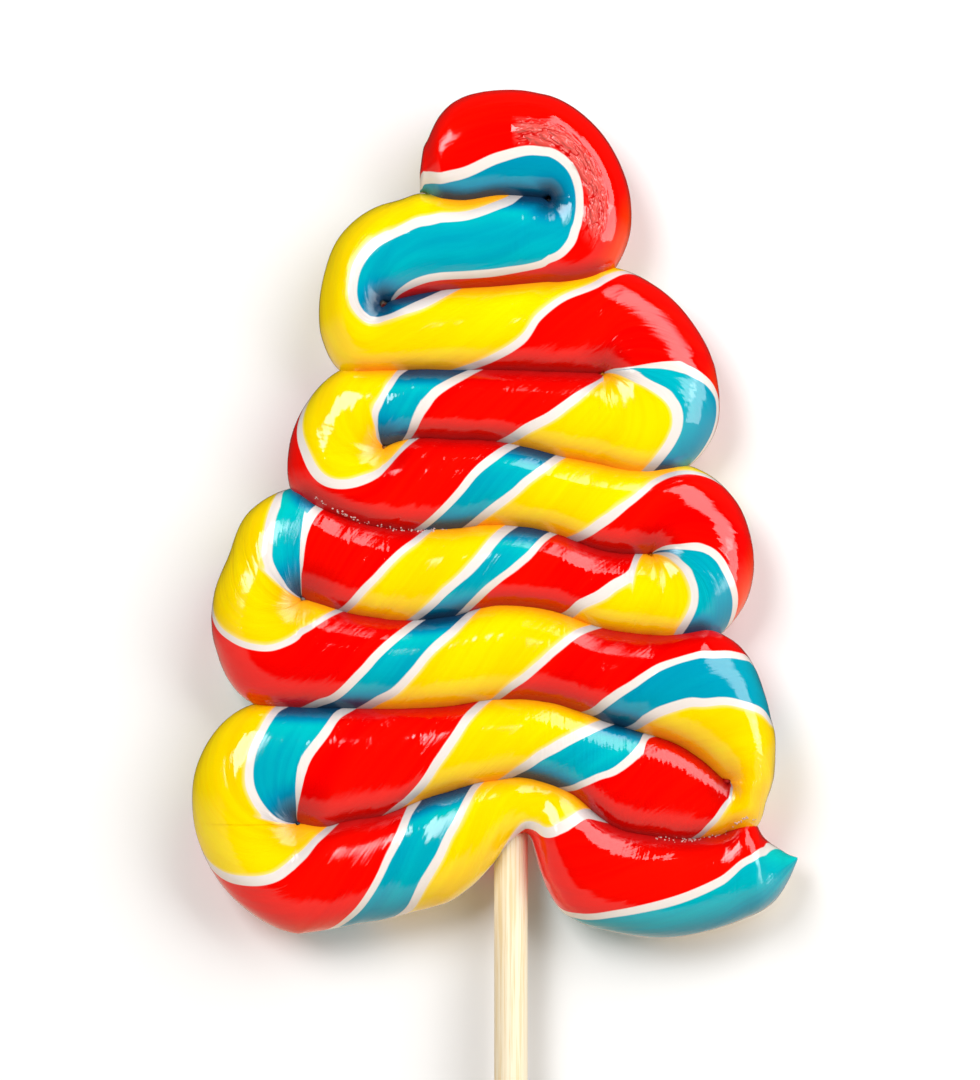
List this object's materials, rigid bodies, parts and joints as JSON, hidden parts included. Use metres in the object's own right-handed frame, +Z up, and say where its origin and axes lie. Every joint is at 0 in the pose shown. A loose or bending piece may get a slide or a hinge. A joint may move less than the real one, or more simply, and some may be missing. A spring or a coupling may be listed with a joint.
{
  "type": "tree lollipop",
  "caption": "Hard candy lollipop: a striped, twisted rope folded back and forth into a fir tree shape, on a round wooden stick, lying on its flat back.",
  "frame": {"origin": "middle of the footprint, on the surface that the lollipop lies on", "axes": "+Y from the stick towards the tree's top, +X to the right as seen from above, +Z up out of the shown side"},
  "size_m": [0.0758, 0.191, 0.0119],
  "materials": {
    "candy": "glossy boiled sugar with red, yellow and teal sectors parted by white lines",
    "wood": "bare pale birch, smooth"
  },
  "bodies": {
    "root": {"candy": "candy", "stick": "wood"}
  },
  "joints": []
}
